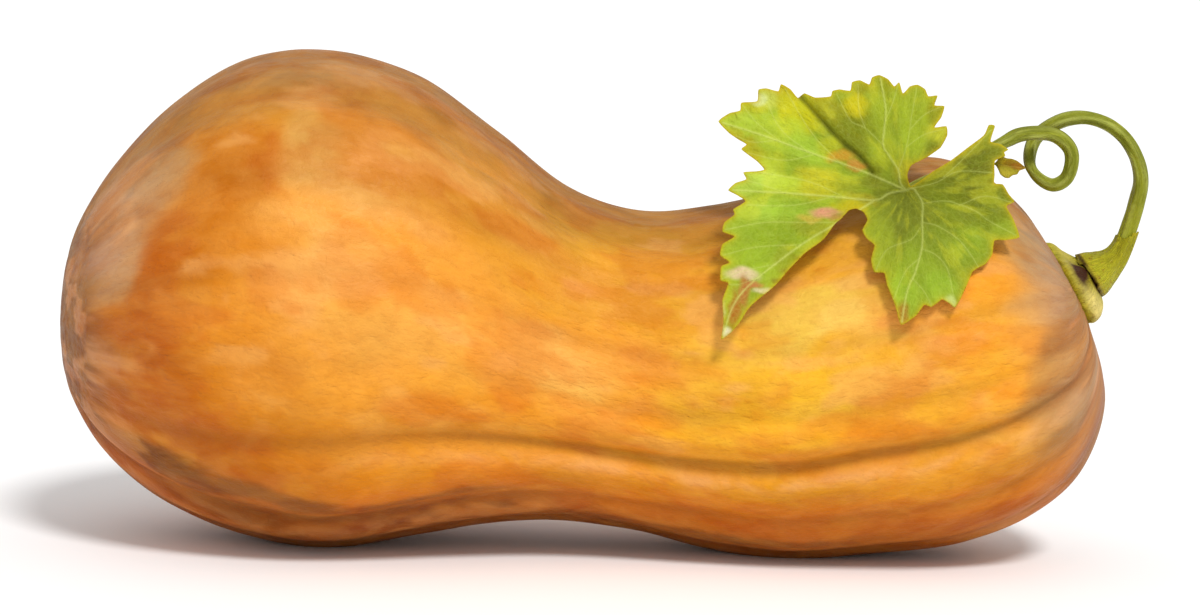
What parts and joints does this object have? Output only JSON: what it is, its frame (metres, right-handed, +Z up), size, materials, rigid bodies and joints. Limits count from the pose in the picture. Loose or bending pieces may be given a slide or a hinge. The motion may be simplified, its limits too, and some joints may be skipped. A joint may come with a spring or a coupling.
{
  "type": "butternut squash",
  "caption": "Waisted ribbed squash lying on its side, with a flared stalk, a curled vine and lobed leaves; a display vegetable.",
  "frame": {"origin": "under the middle of the bounding box, on the surface that the squash lies on", "axes": "+X from the blossom end to the stem end, +Z up, -Y the side that shows the leaf"},
  "size_m": [0.2686, 0.1206, 0.1225],
  "materials": {
    "skin": "satin rind, orange and tan streaks along the ribs",
    "stalk": "corky olive and yellow-green, dark at the waist",
    "vine": "smooth olive-green stem, soft sheen",
    "leaf": "soft green blade, yellow margin, pale veins",
    "young_leaf": "yellow-olive with an orange-brown tip"
  },
  "bodies": {
    "root": {"squash_body": "skin", "fruit_stalk": "stalk", "vine": "vine", "leaf": "leaf", "young_leaf": "young_leaf"}
  },
  "joints": []
}
